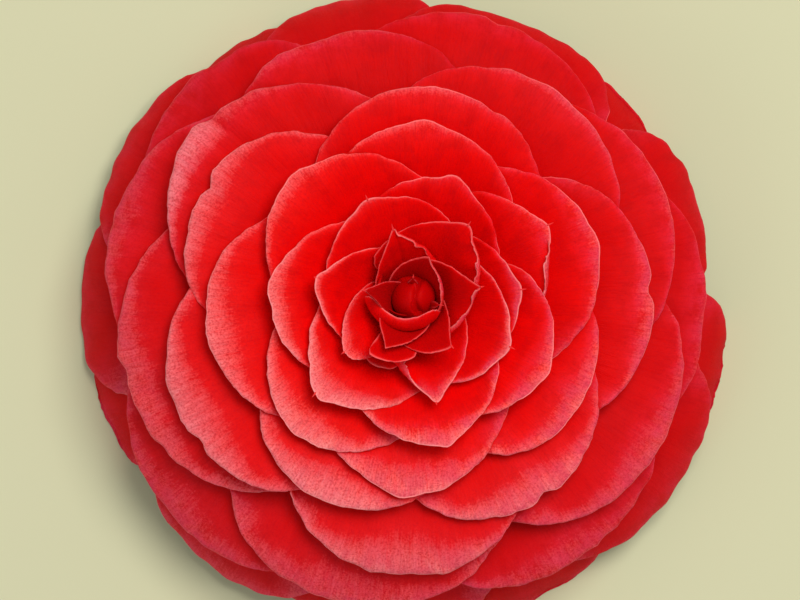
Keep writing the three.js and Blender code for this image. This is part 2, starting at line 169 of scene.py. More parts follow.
# Margins that are rolled over: side (1 is anticlockwise), width of the strip, radius of
# the roll, the most that it turns in radians, where up the side it begins and is whole,
# and where up the head it fades.
ROLLS = {
    "G2": [(-1, 0.5, 0.3, 1.7, 0.5, 1.0, 1.2)],
    "G1": [(-1, 0.7, 0.35, 2.0, 0.7, 1.0, 1.0)],
    "F9": [(-1, 0.9, 0.4, 2.3, 0.8, 1.1, 1.2)],
    "F3": [(-1, 0.9, 0.4, 2.2, 0.8, 1.1, 0.8)],
    "F7": [(-1, 2.8, 0.8, 2.4, 0.4, 0.75, 1.2)],
    "E5": [(-1, 1.9, 0.7, 2.2, 1.3, 1.45, 0.84)],
    "C5": [(-1, 1.4, 0.7, 2.0, 0.8, 1.0, 0.4)],
}
NARROW_ROLL = 0.45  # a roll is never wider than this share of the half blade it is on
ROLL_UNEVENNESS = 0.5
ROLL_WAVES = 1.3  # changes of a roll's width in a millimetre
ROLL_FADE = 0.25  # share of the head over which a roll fades
LEAST_ROLL = 0.02

# Folds: side that rises, where across the blade the line lies, rise per millimetre
# beyond it, the depth and half width of the crease itself, and where up the side it begins.
FOLDS = {
    "C3": [(1, -1.5, 0.28, 0.9, 1.1, 1.0)],
    "B5": [(1, 1.5, 0.16, 0.4, 0.8, 0.5)],
    "F9": [(1, -0.3, 0.2, 0.35, 0.3, 0.5)],
    "B8": [(-1, 1.2, 0.1, 0.3, 0.7, 0.5)],
    "B7": [(1, 0.5, 0.16, 0.3, 0.7, 0.5)],
}
FOLD_REACH = 4.5  # a fold stops rising this far beyond its line
FOLD_WHOLE = 0.6  # where up the head a fold is whole

# The petals that end in a fine hair, and how long it is.
HAIRS = {
    "G3": 0.9, "G4": 0.7, "G1": 0.7, "G8": 0.8, "G7": 0.9, "F9": 1.1, "F3": 0.9, "F2": 0.9,
    "F4": 0.9, "F1": 1.0, "F7": 0.5, "F6": 0.7, "F5": 0.4, "E5": 1.0, "E8": 0.9,
}
HAIR_RADIUS = 0.15
HAIR_END = 0.2  # radius of a hair's end, as a share of its radius
HAIR_STEEPNESS = 0.3
HAIR_BEND = 0.22
HAIR_SHIFT = 0.3  # share of its length that a hair is moved out from where it is centred
HAIR_SIDES = 8
HAIR_CUTS = 4
HAIR_AIM = 0.03  # a hair points from this far down the head, as a share, to the tip
HAIR_LOOK = {"edge": 0.1, "pale_and_painted_light": 0.6, "open": 1.0}

# The petals are made as whorls, each one piece: its name and the layer that it ends at.
WHORLS = [
    ("eye_petals", 13.5),
    ("inner_petals", 25.5),
    ("middle_petals", 35.0),
    ("broad_petals", 41.5),
    ("outer_petals", 46.0),
    ("bent_back_petals", 60.0),
]

HIGHLIGHT_SIDE = 245  # petals are painted paler most on this side of the bloom, a painted highlight, in degrees
COOL_SIDE = 330  # and what is painted pale is coolest on this side
OUTER_LAYERS = (34, 46)  # between these, petals take on the look of the outer ones

# Paleness, partly the petals' own paler margins and partly a painted highlight that is strongest
# on the side above. In a pair the second is what is added on the highlit side or at a fold's tip.
REACH_LEAST = 0.3  # how far in from the margin the innermost petals are pale
REACH_MORE = 4.9
REACH_LAYERS = (12, 34)
REACH_BY_HIGHLIGHT = (0.35, 0.65)
OUTER_REACH = (0.3, 2.0)
STRENGTH = (0.45, 0.63)
STRENGTH_LAYERS = (2, 22)
OUTER_WEAKNESS = 0.35
PALENESS_POWER = 1.1
ROLL_PALENESS = 0.75

# How far in from the margin some of the eye's petals are painted paler than the rest, a painted
# highlight that grows towards the highlit side.
HIGHLIT_PETALS = {"F6": 3.4, "F7": 2.2, "F1": 2.4, "F5": 1.4, "E8": 3.0}
HIGHLIT_FLAPS = {"C3": 7.5}  # a fold painted paler on its anticlockwise side this far from the tip, a painted highlight on the flap
FLAP_REACH = (0.6, 1.4)
FLAP_STRENGTH = (0.7, 1.2)
FLAP_STRENGTH_MOST = 1.1

# How a blade's outline strays from its smooth shape: waves in a radian, where in the
# noise they are read, and their height as a share of the outline's radius.
RAGGED = [(1.8, 0.5, 0.035), (8, 4.5, 0.022), (24, 8.5, 0.012)]
RAGGED_POWER = 6  # how fast the raggedness is lost inwards from the margin

# Waves that lift a blade off its smooth face: height, waves in a millimetre across and
# up the blade, and where in the noise they are read.
BROAD_WAVES = (0.45, 0.09, 0.07, 0)
SMALL_WAVES = (0.16, 0.3, 0.2, 9)
MARGIN_WAVES = (0.22, 0.45, 0.45, 20)
MARGIN_WIDTH = 1.2
WAVES_START = 0.35  # where up a petal's side the waves begin
WAVY_LAYERS = (3, 30)
CURL_DEPTH = 0.25
CURL_WIDTH = 0.8
FAN_CENTRE = 4  # a petal's ribs and veins fan out from this far below its foot
RIB_HEIGHT = 0.42
RIB_RATE = 15
RIB_DRIFT = 0.05
RIB_SHIFT = 3
VEIN_STEP = 0.02
SEED_STEP = 7.31  # each petal reads the noise this far from one that is a layer away
TONE_STEP = 3.7

BUD_RADIUS = 3.0
BUD_TAPER = 0.3  # how much wider the bud gets towards its foot
BUD_GIRTH_AT = 0.5  # where up its half height the bud has its radius
BUD_HALF_HEIGHT = 3.0
BUD_MIDDLE = (0.3, 0.8, 28.1)
# The bud is coloured as a petal of this layer, which paints the eye's shade into it too.
BUD_LAYER = 8.2
BUD_WRAPS = 2
BUD_TURN = 0.11
BUD_TWIST = 0.22
BUD_LEDGE = 0.16
BUD_CREASE = 0.22
BUD_CREASE_AT = 0.1
BUD_CREASE_BEND = 0.35
BUD_CREASE_WIDTH = 0.17
BUD_CREASE_GROWS = (-0.2, 0.6)
BUD_EDGE = 3.0  # the bud is coloured as a petal is this far from its margin
BUD_SEGMENTS = 144
BUD_RINGS = 56

CUP_BOTTOM = 4.3
CUP_RIM = 8.9
CUP_OUTLINE = [
    (0, CUP_BOTTOM),
    (2.6, CUP_BOTTOM),
    (4.6, 5.4),
    (6.3, 7.6),
    (6.7, CUP_RIM),
    (0, CUP_RIM),
]
CUP_FLUTES = 5
CUP_FLUTE_DEPTH = 0.02
SEPAL_THICKNESS = 0.75
SEPAL_RINGS = [
    {"count": 5, "start": 18, "reach": 13, "half": 6.0, "head": 6.5, "below": 1.5,
     "rise": 8, "fall": 18},
    {"count": 5, "start": 54, "reach": 10, "half": 5.0, "head": 5, "below": 2.9,
     "rise": 10, "fall": 22},
]
SEPAL_BASE_RADIUS = 4.6
SEPAL_POINT = 0.5
SEPAL_CLAW_SHARE = 0.7
STEM_BOTTOM = 0.6
STEM_TOP = 4.0
STEM_RADIUS = 1.9
STEM_COLLAR_RADIUS = 2.4
STEM_OUTLINE = [
    (0, STEM_BOTTOM + 0.15),
    (STEM_RADIUS - 0.8, STEM_BOTTOM + 0.1),
    (STEM_RADIUS - 0.2, STEM_BOTTOM),
    (STEM_RADIUS, STEM_BOTTOM + 0.3),
    (STEM_RADIUS, STEM_TOP - 1.4),
    (STEM_COLLAR_RADIUS, STEM_TOP - 0.5),
    (STEM_COLLAR_RADIUS, STEM_TOP),
    (0, STEM_TOP),
]
STEM_RIDGES = 5
STEM_RIDGE_HEIGHT = 0.05
STEM_ROUGHNESS = 0.06
STEM_ROUGHNESS_RATE = 1.3
STEM_SCAR_HEIGHT = 0.07
STEM_SCAR_RATE = 14
STEM_SCARS = (2.4, 3.4)
STEM_SKIN = (0.5, 1.6)  # the cut end's middle is left plain inside the first of these radii
TURNED_CUTS = 5
TURNED_STEPS = 64
TURNED_MERGE = 1e-4

COLUMNS = 48
SIDE_ROWS = 10
HEAD_ROWS = 26
HIDDEN_SIDE = 0.1  # share of a petal's side that is left off inside the heart
SKY_RINGS = [(0.5, 5), (1.0, 7), (1.25, 8)]  # rays that test how open it is: tilt, count
SKY_START = 0.35
SKY_REACH = 7.0
EDGE_CROWDING = 0.51  # how much closer the grid's lines lie at a margin

# ---------------------------------------------------------------- helpers

stem_low, stem_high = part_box("stem")
AXIS = (stem_low + stem_high) / 2
AXIS.z = 0


def ramp(value, start, end):
    share = min(1.0, max(0.0, (value - start) / (end - start)))
    return share * share * (3 - 2 * share)


def rising(pair, share):
    """The first of a pair, with as much of the second added as the share says."""
    return pair[0] + pair[1] * share


def facing(place, direction):
    """How near a place lies to a side of the bloom, from 0 to 1."""
    turn = math.atan2(place.y, place.x) - math.radians(direction)
    return rising((0.5, 0.5), math.cos(turn))


def finish_piece(name, mesh_data, material, replaced):
    piece = bpy.data.objects.new(name, mesh_data)
    bpy.context.scene.collection.objects.link(piece)
    piece.data.materials.append(material)
    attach(piece, "root")
    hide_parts(replaced)
    return piece


# ---------------------------------------------------------------- profiles


def tip_height(layer):
    along = (layer / DOME_RADIUS) ** DOME_POWER
    dome = DOME_HEIGHT * (1 - along) ** DOME_ROUNDNESS - DOME_SINK
    return dome - EYE_DEPTH * math.exp(-((layer / EYE_RADIUS) ** 2))


class Profile:
    """The curve that a petal follows from the heart to its tip: x radius, y height."""

    STEPS = 120
    SEARCHES = 40
    SEARCHED = 1.3  # a radius is looked for up to this many lengths of the curve

    def __init__(self, base, rise, tip, fall):
        handle = HANDLE * (tip - base).length
        first = base + handle * Vector((math.cos(rise), math.sin(rise)))
        second = tip - handle * Vector((math.cos(fall), math.sin(fall)))
        self.points = [self.bezier(base, first, second, tip, n / self.STEPS)
                       for n in range(self.STEPS + 1)]
        self.lengths = [0.0]
        for before, after in zip(self.points, self.points[1:]):
            self.lengths.append(self.lengths[-1] + (after - before).length)
        self.length = self.lengths[-1]

    @staticmethod
    def bezier(a, b, c, d, t):
        s = 1 - t
        return a * s**3 + b * (3 * s * s * t) + c * (3 * s * t * t) + d * t**3

    def at(self, length):
        """The point and direction at a length, and straight on past the end."""
        low, high = 0, self.STEPS
        while high - low > 1:
            middle = (low + high) // 2
            if self.lengths[middle] <= length:
                low = middle
            else:
                high = middle
        step = self.points[high] - self.points[low]
        share = (length - self.lengths[low]) / step.length
        return self.points[low] + step * share, self.direction(low, share)

    def direction(self, low, share):
        before = self.points[max(low - 1, 0)]
        after = self.points[min(low + 2, self.STEPS)]
        first = (self.points[low + 1] - before).normalized()
        second = (after - self.points[low]).normalized()
        return first.lerp(second, min(1.0, max(0.0, share))).normalized()

    def length_at_radius(self, radius):
        low, high = 0.0, self.length * self.SEARCHED
        for _ in range(self.SEARCHES):
            middle = (low + high) / 2
            if self.at(middle)[0].x < radius:
                low = middle
            else:
                high = middle
        return low


def petal_profile(layer, reach):
    share = layer / SPAN
    base = Vector((BASE_INNER_RADIUS + BASE_SPREAD * share, BASE_TOP - BASE_DROP * share))
    rise = RISE_INNER - RISE_SPREAD * share**RISE_POWER
    if layer <= REFLEXED_LAYER:
        tip = Vector((layer, tip_height(layer)))
        fall = TIP_SLOPE_INNER - TIP_SLOPE_PER_LAYER * layer
    else:
        bend = (layer - REFLEXED_LAYER) / REFLEXED_RANGE
        tip = Vector((reach, REFLEXED_TIP_HEIGHT - REFLEXED_TIP_DROP * bend))
        fall = REFLEXED_SLOPE - REFLEXED_SLOPE_DROP * bend
    return Profile(base, math.radians(rise), tip, math.radians(fall))


# ---------------------------------------------------------------- petals


def on_side(value, across):
    """The value that holds on the side of the midline that a point is on."""
    if isinstance(value, tuple):
        return value[0] if across < 0 else value[1]
    return value


class Blade:
    """A petal or a sepal: an outline that is wrapped round the axis along a profile."""

    def __init__(self, name, direction, profile, length, half, head, power=2.0, point=0.0,
                 point_at=0.0, claw=CLAW_HALF_WIDTH, hidden=HIDDEN_SIDE, layer=0.0, aside=(0, 0)):
        self.name = name
        self.direction = math.radians(direction)
        self.profile = profile
        self.half = half
        self.head = head
        self.power = power
        self.point = point
        self.point_at = point_at
        self.claw = claw
        self.hidden = hidden
        self.layer = layer
        self.middle = AXIS + Vector((*aside, 0)) * MM
        self.head_start = length - head - max(point, 0)
        self.seed = layer * SEED_STEP + self.direction
        self.rolls = ROLLS.get(name, [])
        self.folds = FOLDS.get(name, [])

    def unrolled(self, across, up):
        """A grid point's place on the unrolled blade, and its distance from the margin.
        Across runs from -1 to 1, up from 0 to 1 on the side and from 1 to 2 on the head."""
        if up <= 1:
            share = self.hidden + (1 - self.hidden) * up
            swell = math.sin(share * math.pi / 2) ** SIDE_POWER
            half_width = self.claw + (on_side(self.half, across) - self.claw) * swell
            edge = (1 - abs(across)) * half_width
            return across * half_width, share * self.head_start, edge
        rise = up - 1
        x = across * math.sqrt(1 - rise * rise / 2)
        y = rise * math.sqrt(1 - across * across / 2)
        radius = math.hypot(x, y)
        power = on_side(self.power, across)
        total = (abs(x) / radius) ** power + (y / radius) ** power
        fullness = total ** (-1 / power)
        width = POINT_WIDTH + POINT_WIDTH_PER_MM * self.point if self.point > 0 else NOTCH_WIDTH
        aside = (x - self.point_at) / width
        point = self.point * math.exp(-aside * aside) * y**POINT_REACH
        out_x = on_side(self.half, across) * x * fullness
        out_y = self.head * y * fullness
        inside = max(abs(across), rise)
        edge = (1 - inside) / inside * math.hypot(out_x, out_y)
        ragged = self.ragged(math.atan2(x, y)) * inside**RAGGED_POWER
        return out_x * (1 + ragged), self.head_start + out_y * (1 + ragged) + point, edge

    def ragged(self, angle):
        """How the outline strays from its smooth shape, as a share of its radius."""
        return sum(size * noise.noise((angle * rate, self.seed, shift))
                   for rate, shift, size in RAGGED)

    def wave(self, x, y, kind):
        height, across, up, shift = kind
        return height * noise.noise((x * across, y * up, self.seed + shift))

    def lift(self, x, y, edge):
        """How far the blade's waves, ribs and margin stand off its smooth face."""
        along = ramp(y, WAVES_START * self.head_start, self.head_start + self.head)
        size = ramp(self.layer, *WAVY_LAYERS)
        waves = self.wave(x, y, BROAD_WAVES) + self.wave(x, y, SMALL_WAVES)
        waves += self.wave(x, y, MARGIN_WAVES) * math.exp(-edge / MARGIN_WIDTH)
        fan = x / (y + FAN_CENTRE) * RIB_RATE
        ribs = RIB_HEIGHT * noise.noise((fan, y * RIB_DRIFT, self.seed + RIB_SHIFT))
        curl = -CURL_DEPTH * math.exp(-edge / CURL_WIDTH) * size
        return along * size * (waves + ribs) + curl

    def folded(self, x, y):
        """How far the blade's folds stand off: each rises to one side of its line."""
        total = 0.0
        for side, line, rise, depth, width, begin in self.folds:
            whole = self.head_start + FOLD_WHOLE * self.head
            along = ramp(y, begin * self.head_start, whole)
            beyond = min(FOLD_REACH, max(0.0, (x - line) * side))
            total += rise * beyond * along
            total -= depth * math.exp(-((x - line) / width) ** 2) * along
        return total

    def rolled(self, x, y, up):
        """Rolls a strip along one margin over, towards the flower's axis: the new place
        across, how far it stands up, and how much of its turn it has made."""
        for side, strip, tightness, most, begin, whole, fade in self.rolls:
            across = x * side
            half_width = abs(self.unrolled(side, up)[0]) if up <= 1 else self.width_at(y, side)
            uneven = 1 + ROLL_UNEVENNESS * noise.noise((y * ROLL_WAVES, self.seed, 2.0))
            line = half_width - min(strip * uneven, NARROW_ROLL * half_width)
            if across > line:
                grown = ramp(y, begin * self.head_start, whole * self.head_start)
                grown *= 1 - ramp((y - self.head_start) / self.head, fade, fade + ROLL_FADE)
                radius = tightness / max(grown, LEAST_ROLL)
                angle = (across - line) / radius
                beyond = max(0.0, angle - most) * radius
                angle = min(angle, most)
                new_x = line + radius * math.sin(angle) + beyond * math.cos(angle)
                rise = radius * (1 - math.cos(angle)) + beyond * math.sin(angle)
                return side * new_x, rise, grown * angle / most
        return x, 0.0, 0.0

    def place(self, across, up):
        flat_x, y, edge = self.unrolled(across, up)
        x, rolled_up, turned = self.rolled(flat_x, y, up)
        point, tangent = self.profile.at(y)
        turn = self.direction + x / max(point.x, WRAP_RADIUS)
        lift = self.lift(flat_x, y, edge) + self.folded(flat_x, y) + rolled_up
        radius = point.x - tangent.y * lift
        height = max(point.y + tangent.x * lift, SURFACE_CLEARANCE)
        place = Vector((radius * math.cos(turn), radius * math.sin(turn), height)) * MM
        return place + self.middle, flat_x, y, edge, turned

    def width_at(self, y, side):
        """Half the head's width at a height of the unrolled blade."""
        power = on_side(self.power, side)
        share = min(1.0, max(0.0, (y - self.head_start) / self.head))
        return on_side(self.half, side) * (1 - share**power) ** (1 / power)

    def tip(self, short=0.0):
        return self.place(self.point_at / math.sqrt(0.5), 2 - short)[0]


def petal_from(row):
    name, direction, reach, half, head, power, point, point_at, layer = row
    profile = petal_profile(layer, reach)
    length = profile.length_at_radius(reach)
    return Blade(name, direction, profile, length, half, head, power, point, point_at,
                 layer=layer)


def leaning_petal(row):
    name, direction, half, head, base, tip, layer = row
    base_radius, base_height, rise = base
    radius, height, fall = tip
    profile = Profile(Vector((base_radius, base_height)), math.radians(rise),
                      Vector((radius, height)), math.radians(fall))
    return Blade(name, direction, profile, profile.length, half, head, LEANING_POWER,
                 layer=layer, aside=LEANING_AXIS)


def crowded(value):
    """Moves an even step from 0 to 1 so that steps get shorter towards 1."""
    return value * (1 + EDGE_CROWDING * (1 - value * value))


def paleness_with_highlight(petal, place, x, y, edge, turned):
    """How pale a petal is, from 0 to 1: towards its margin, partly its own paler colour and
    partly a painted highlight, and more on one side of the bloom as a painted highlight."""
    highlit = facing(place, HIGHLIGHT_SIDE)
    outer = ramp(petal.layer, *OUTER_LAYERS)
    reach = REACH_LEAST + REACH_MORE * ramp(petal.layer, *REACH_LAYERS)
    reach *= rising(REACH_BY_HIGHLIGHT, highlit)
    reach += rising(OUTER_REACH, highlit) * outer
    strength = rising(STRENGTH, highlit) * ramp(petal.layer, *STRENGTH_LAYERS)
    strength *= 1 - OUTER_WEAKNESS * outer
    if petal.name in HIGHLIT_PETALS:
        reach = max(reach, HIGHLIT_PETALS[petal.name] * highlit * highlit)
        strength = 1.0
    if petal.name in HIGHLIT_FLAPS and x > petal.folds[0][1]:
        top = petal.head_start + petal.head
        near = ramp(y, top - HIGHLIT_FLAPS[petal.name], top)
        reach *= rising(FLAP_REACH, near)
        strength = min(FLAP_STRENGTH_MOST, strength * rising(FLAP_STRENGTH, near))
    return max(strength * math.exp(-((edge / reach) ** PALENESS_POWER)), ROLL_PALENESS * turned)


def coolness(petal, place):
    """How far a petal's pale flesh leans to violet: most on the right and outside."""
    return max(facing(place, COOL_SIDE), ramp(petal.layer, *OUTER_LAYERS))


def add_blade(bm, petal, layers):
    rows = SIDE_ROWS + HEAD_ROWS
    grid = bmesh.ops.create_grid(bm, x_segments=COLUMNS, y_segments=rows, size=1)
    uv = layers["uv"]
    turned_out = {}
    for vert in grid["verts"]:
        across = math.copysign(crowded(abs(vert.co.x)), vert.co.x)
        row = round((vert.co.y + 1) / 2 * rows)
        up = row / SIDE_ROWS
        if row > SIDE_ROWS:
            up = 1 + crowded((row - SIDE_ROWS) / HEAD_ROWS)
        across = min(1.0, max(-1.0, across))
        up = min(2.0, up)
        vert.co, x, y, edge, turned = petal.place(across, up)
        vert[layers["edge"]] = edge
        vert[layers["tone"]] = noise.noise((petal.seed * TONE_STEP, 1.5, 2.5))
        vert[layers["pale_and_painted_light"]] = paleness_with_highlight(petal, vert.co - AXIS, x, y, edge, turned)
        vert[layers["layer"]] = petal.layer / SPAN
        vert[layers["cool"]] = coolness(petal, vert.co - AXIS)
        turned_out[vert] = (math.atan2(x, y + FAN_CENTRE), y * VEIN_STEP)
        thin = 1 - (1 - RIM_THICKNESS) * math.exp(-edge / RIM_WIDTH)
        vert[layers["group"]][0] = thin
    for vert in grid["verts"]:
        for loop in vert.link_loops:
            loop[uv].uv = turned_out[vert]


def open_to_light(bm, layers, tree):
    """Marks how open to the sky each point lies, for painted light: the material paints covered
    points as a brighter glow or a deeper shade and keeps them from paling.
    """
    upward = [Vector((0, 0, 1))]
    for tilt, count in SKY_RINGS:
        for index in range(count):
            turn = math.tau * (index + tilt) / count
            flat = Vector((math.cos(turn), math.sin(turn), 0)) * math.sin(tilt)
            upward.append(flat + Vector((0, 0, math.cos(tilt))))
    for vert in bm.verts:
        start = vert.co + Vector((0, 0, SKY_START * MM))
        seen = sum(1 for way in upward if tree.ray_cast(start, way, SKY_REACH * MM)[0] is None)
        vert[layers["open"]] = seen / len(upward)


def new_layers(bm):
    """The values that a mesh carries for its material, its thickness and its veins."""
    names = ("edge", "tone", "pale_and_painted_light", "open", "layer", "cool")
    layers = {name: bm.verts.layers.float.new(name) for name in names}
    layers["group"] = bm.verts.layers.deform.verify()
    layers["uv"] = bm.loops.layers.uv.new("blade")
    return layers


def mesh_from(bm, name):
    for face in bm.faces:
        face.smooth = True
    data = bpy.data.meshes.new(name)
    bm.to_mesh(data)
    bm.free()
    return data


def covering(blades):
    """A tree of every petal's middle face, to find which points lie under another."""
    bm = bmesh.new()
    layers = new_layers(bm)
    for blade in blades:
        add_blade(bm, blade, layers)
    tree = BVHTree.FromBMesh(bm)
    bm.free()
    return tree


def make_blades(name, blades, material, thickness, replaced, tree=None):
    bm = bmesh.new()
    layers = new_layers(bm)
    for blade in blades:
        add_blade(bm, blade, layers)
    if tree:
        open_to_light(bm, layers, tree)
    piece = finish_piece(name, mesh_from(bm, name), material, replaced)
    piece.vertex_groups.new(name="thickness")
    solid = piece.modifiers.new("thickness", "SOLIDIFY")
    solid.thickness = thickness * MM
    solid.offset = 0
    solid.vertex_group = "thickness"
    solid.use_even_offset = False
    return piece


def make_bud(material):
    """The closed bud in the eye: tight wraps, each of which ends in a ledge."""
    bm = bmesh.new()
    layers = new_layers(bm)
    ball = bmesh.ops.create_uvsphere(bm, u_segments=BUD_SEGMENTS, v_segments=BUD_RINGS, radius=1)
    for vert in ball["verts"]:
        x, y, z = vert.co
        turn = math.atan2(y, x) / math.tau + BUD_TWIST * z + BUD_TURN
        wrap = (turn * BUD_WRAPS) % 1.0
        around = math.hypot(x, y)
        step = 1 - BUD_LEDGE * (1 - wrap) * around
        line = x - BUD_CREASE_AT - BUD_CREASE_BEND * y * y
        crease = math.exp(-((line / BUD_CREASE_WIDTH) ** 2)) * ramp(z, *BUD_CREASE_GROWS)
        step *= 1 - BUD_CREASE * crease
        radius = BUD_RADIUS * (1 + BUD_TAPER * (BUD_GIRTH_AT - z))
        place = Vector((x * radius, y * radius, z * BUD_HALF_HEIGHT)) * step
        vert.co = (place + Vector(BUD_MIDDLE)) * MM + AXIS
        vert[layers["edge"]] = BUD_EDGE
        vert[layers["layer"]] = BUD_LAYER / SPAN
    return finish_piece("bud", mesh_from(bm, "bud"), material, "petals")


def make_hairs(petals, material):
    """The fine hair that ends a petal's midrib: a tapering, slightly bent thorn."""
    bm = bmesh.new()
    layers = new_layers(bm)
    for petal in petals:
        length = HAIRS.get(petal.name)
        if not length:
            continue
        tip = petal.tip()
        along = (tip - petal.tip(HAIR_AIM)).normalized()
        along.z = min(along.z, HAIR_STEEPNESS)
        first = len(bm.verts)
        bmesh.ops.create_cone(bm, cap_ends=True, segments=HAIR_SIDES, radius1=HAIR_RADIUS,
                              radius2=HAIR_RADIUS * HAIR_END, depth=length)
        bm.verts.ensure_lookup_table()
        edges = {edge for vert in bm.verts[first:] for edge in vert.link_edges}
        upright = [edge for edge in edges
                   if abs(edge.verts[0].co.z - edge.verts[1].co.z) > length / 2]
        bmesh.ops.subdivide_edges(bm, edges=upright, cuts=HAIR_CUTS)
        bm.verts.ensure_lookup_table()
        verts = bm.verts[first:]
        for vert in verts:
            share = vert.co.z / length + 0.5
            vert.co.x += HAIR_BEND * length * share * share
            vert.co.z += length * HAIR_SHIFT
            for layer, value in HAIR_LOOK.items():
                vert[layers[layer]] = value
        matrix = along.to_track_quat("Z", "X").to_matrix().to_4x4()
        matrix = Matrix.Translation(tip) @ matrix @ Matrix.Scale(MM, 4)
        bmesh.ops.transform(bm, matrix=matrix, verts=verts)
    data = mesh_from(bm, "petal_hairs")
    return finish_piece("petal_hairs", data, material, "petals")


# ---------------------------------------------------------------- calyx and stem


def sepal_blades():
    blades = []
    for ring in SEPAL_RINGS:
        height = CUP_RIM - ring["below"]
        base = Vector((SEPAL_BASE_RADIUS, height))
        slope = math.radians((ring["rise"] + ring["fall"]) / 2)
        climb = math.tan(slope) * (ring["reach"] - SEPAL_BASE_RADIUS)
        tip = Vector((ring["reach"], height + climb))
        profile = Profile(base, math.radians(ring["rise"]), tip, math.radians(ring["fall"]))
        for index in range(ring["count"]):
            direction = ring["start"] + 360 / ring["count"] * index
            blades.append(Blade("sepal", direction, profile, profile.length, ring["half"],
                                ring["head"], point=SEPAL_POINT, hidden=0.0,
                                claw=ring["half"] * SEPAL_CLAW_SHARE, layer=ring["reach"]))
    return blades


def make_turned(name, outline, material, replaced, shape):
    """A piece turned about the flower's axis from points of radius and height."""
    bm = bmesh.new()
    corners = [bm.verts.new((radius, 0, height)) for radius, height in outline]
    edges = [bm.edges.new(pair) for pair in zip(corners, corners[1:])]
    bmesh.ops.subdivide_edges(bm, edges=edges, cuts=TURNED_CUTS)
    line = bm.verts[:] + bm.edges[:]
    bmesh.ops.spin(bm, geom=line, axis=(0, 0, 1), cent=(0, 0, 0), angle=math.tau,
                   steps=TURNED_STEPS, use_merge=True)
    bmesh.ops.remove_doubles(bm, verts=bm.verts, dist=TURNED_MERGE)
    bmesh.ops.recalc_face_normals(bm, faces=bm.faces)
    for vert in bm.verts:
        vert.co = (Vector(shape(vert.co)) * MM) + AXIS
    return finish_piece(name, mesh_from(bm, name), material, replaced)


def stem_shape(place):
    """Faint ridges along the stub, and scars of the fallen bud scales round its top."""
    turn = math.atan2(place.y, place.x)
    ridge = STEM_RIDGE_HEIGHT * math.sin(STEM_RIDGES * turn + place.z)
    ridge += STEM_ROUGHNESS * noise.noise(place * STEM_ROUGHNESS_RATE)
    scar = STEM_SCAR_HEIGHT * math.sin(place.z * STEM_SCAR_RATE) * ramp(place.z, *STEM_SCARS)
    skin = ramp(math.hypot(place.x, place.y), *STEM_SKIN)
    share = 1 + (ridge + scar) * skin / STEM_RADIUS
    return place.x * share, place.y * share, place.z


def cup_shape(place):
    turn = math.atan2(place.y, place.x)
    share = 1 + CUP_FLUTE_DEPTH * math.sin(CUP_FLUTES * turn)
    return place.x * share, place.y * share, place.z


# ---------------------------------------------------------------- materials

# sRGB tones of a petal. Outer ones are towards the outside of the bloom. Lit and covered tones
# are painted light and shade, the rim tones partly a painted highlight, and side a painted
# shadow.
PETAL_TONES = {
    "lit": (238, 2, 0),
    "lit_outer": (206, 6, 8),
    # The heart tones are painted shade: the eye's petals darker as if deep in its hollow.
    "lit_heart_painted_shade": (192, 0, 0),
    # The covered tones are painted by how open a point is: a painted glow, or painted shade on
    # the outer petals.
    "covered_painted_light": (255, 0, 0),
    "covered_outer_painted_shade": (182, 0, 2),
    "covered_heart_painted_shade": (172, 0, 0),
    "mottled": (170, 0, 8),
    "pale": (244, 34, 28),
    "pale_outer": (220, 34, 46),
    "palest_eye": (255, 92, 92),
    "palest": (255, 144, 144),
    "palest_outer": (252, 134, 146),
    "violet": (218, 48, 84),
    "vein": (160, 0, 22),
    "grain": (172, 6, 38),
    # The rim tones are partly the petal's paler edge and partly a painted highlight.
    "rim": (255, 84, 86),
    "rim_pale": (255, 150, 150),
    # A painted shadow along the side of a petal's thickness.
    "side": (150, 0, 26),
    "sheen": (255, 90, 90),
}


